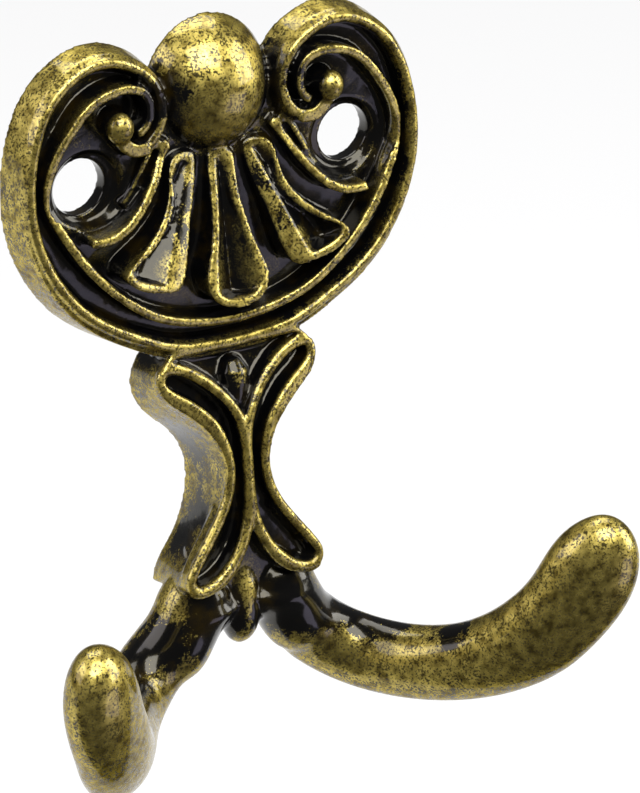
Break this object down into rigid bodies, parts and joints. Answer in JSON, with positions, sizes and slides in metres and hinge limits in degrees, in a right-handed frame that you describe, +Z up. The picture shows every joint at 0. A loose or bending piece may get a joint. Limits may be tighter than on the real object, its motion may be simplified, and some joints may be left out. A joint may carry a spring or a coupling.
{
  "type": "coat hook",
  "caption": "Wall-mounted cast coat hook with a shell-patterned back plate, a scroll-leaf stem and two upturned round prongs.",
  "frame": {"origin": "midway between the two screw holes, on the wall plane at the back of the plate", "axes": "+X to the right seen from the front, +Y into the wall, +Z up; the prongs stand out towards -Y"},
  "size_m": [0.0544, 0.0262, 0.0611],
  "materials": {
    "antique_brass": "antique brass on cast zinc, rubbed bright on raised edges, black lacquer in the recesses"
  },
  "bodies": {
    "root": {"coat_hook": "antique_brass"}
  },
  "joints": []
}
